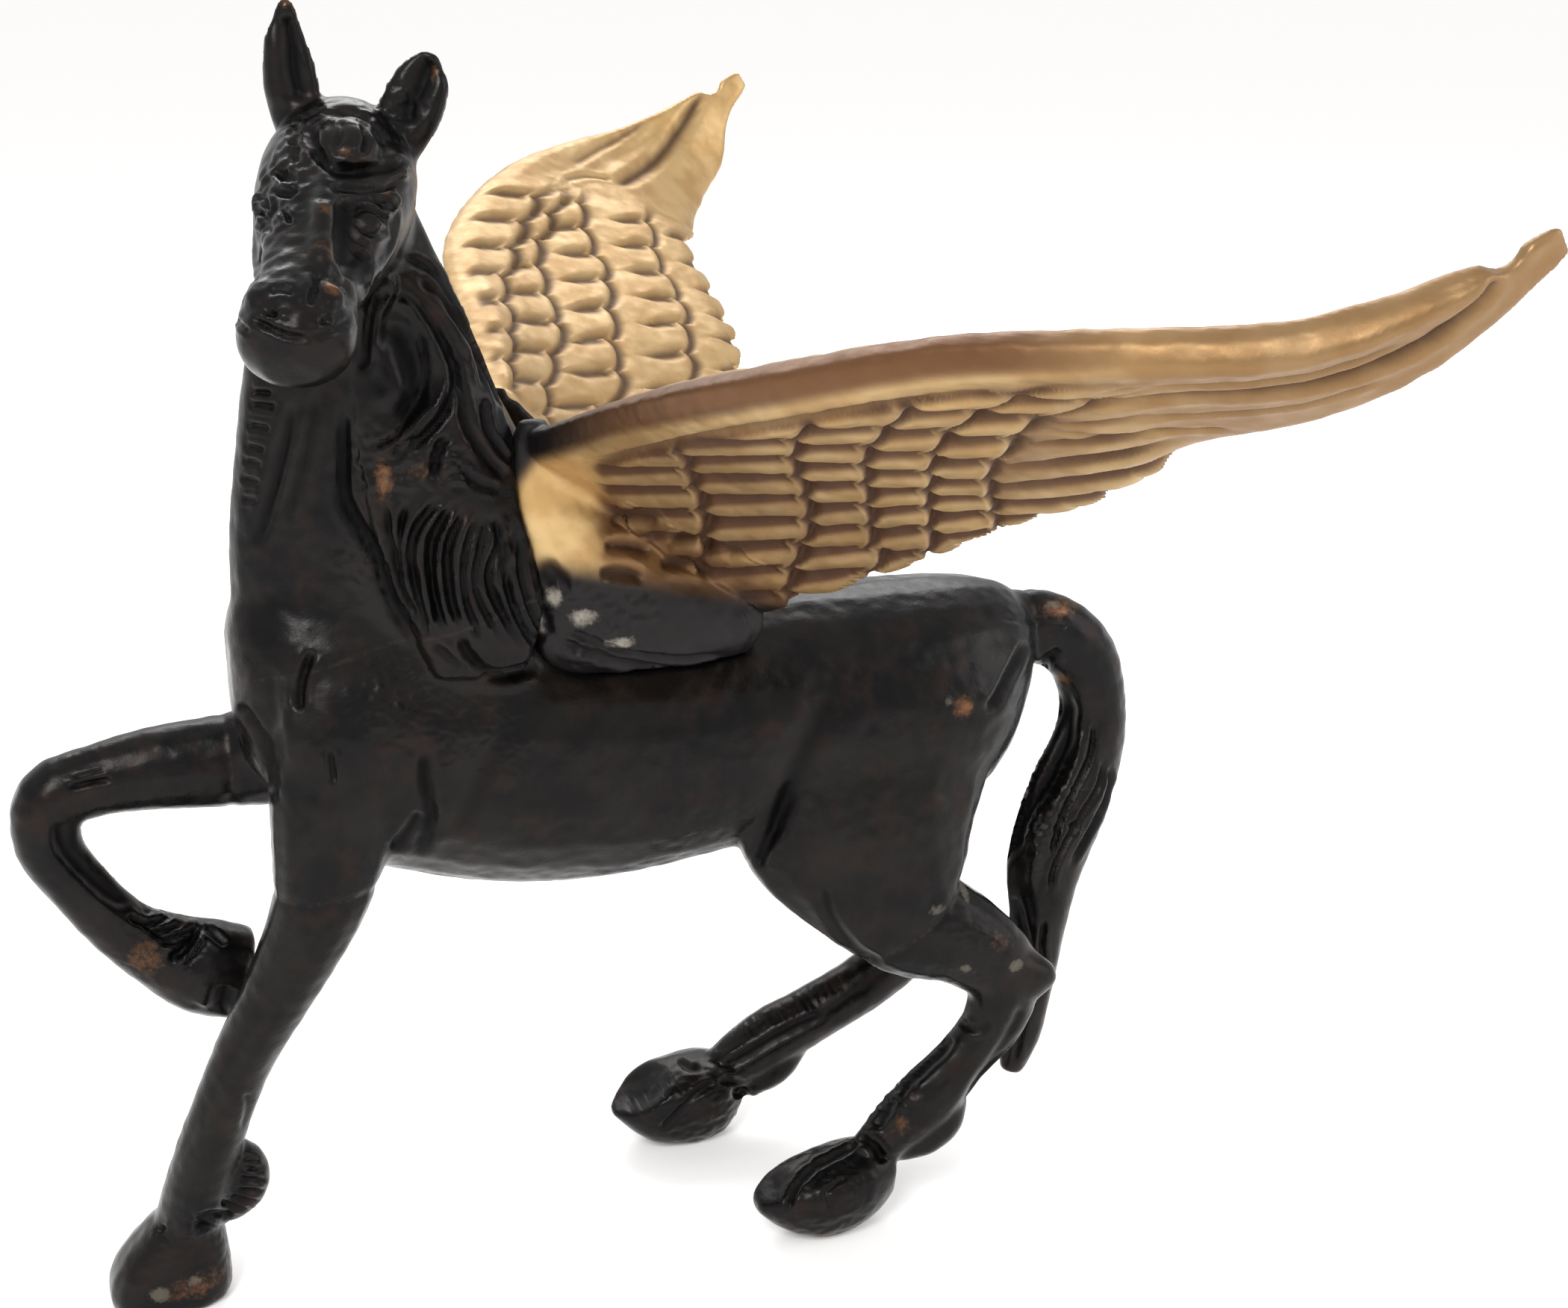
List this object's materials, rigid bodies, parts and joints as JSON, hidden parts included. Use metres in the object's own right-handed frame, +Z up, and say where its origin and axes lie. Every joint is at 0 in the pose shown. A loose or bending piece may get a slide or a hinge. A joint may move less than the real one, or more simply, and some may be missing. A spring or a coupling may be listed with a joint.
{
  "type": "winged horse statuette",
  "caption": "Free-standing cast winged horse with dark patina, raised right foreleg, turned head and spread brass wings.",
  "frame": {"origin": "centre of the base of the bounding box, on the surface it stands on", "axes": "+Z up, the horse faces -X, its left side faces -Y"},
  "size_m": [0.1828, 0.2556, 0.2],
  "materials": {
    "dark_bronze": "satin black-brown patina, burnished on the high points",
    "gilt_brass": "antique brass, brown in the recesses",
    "braze": "dull filed braze",
    "steel_pin": "filed flush"
  },
  "bodies": {
    "root": {"torso": "dark_bronze", "neck_and_head": "dark_bronze", "left_foreleg": "dark_bronze", "right_foreleg": "dark_bronze", "left_hind_leg": "dark_bronze", "right_hind_leg": "dark_bronze", "tail": "dark_bronze", "left_wing": "gilt_brass", "right_wing": "gilt_brass", "neck_braze": "braze", "left_foreleg_braze": "braze", "right_foreleg_braze": "braze", "left_hind_leg_braze": "braze", "right_hind_leg_braze": "braze", "tail_braze": "braze", "left_wing_braze": "braze", "right_wing_braze": "braze", "neck_pin": "steel_pin", "left_foreleg_pin": "steel_pin", "right_foreleg_pin": "steel_pin", "left_hind_leg_pin": "steel_pin", "right_hind_leg_pin": "steel_pin", "tail_pin": "steel_pin", "left_wing_pin": "steel_pin", "right_wing_pin": "steel_pin"}
  },
  "joints": []
}
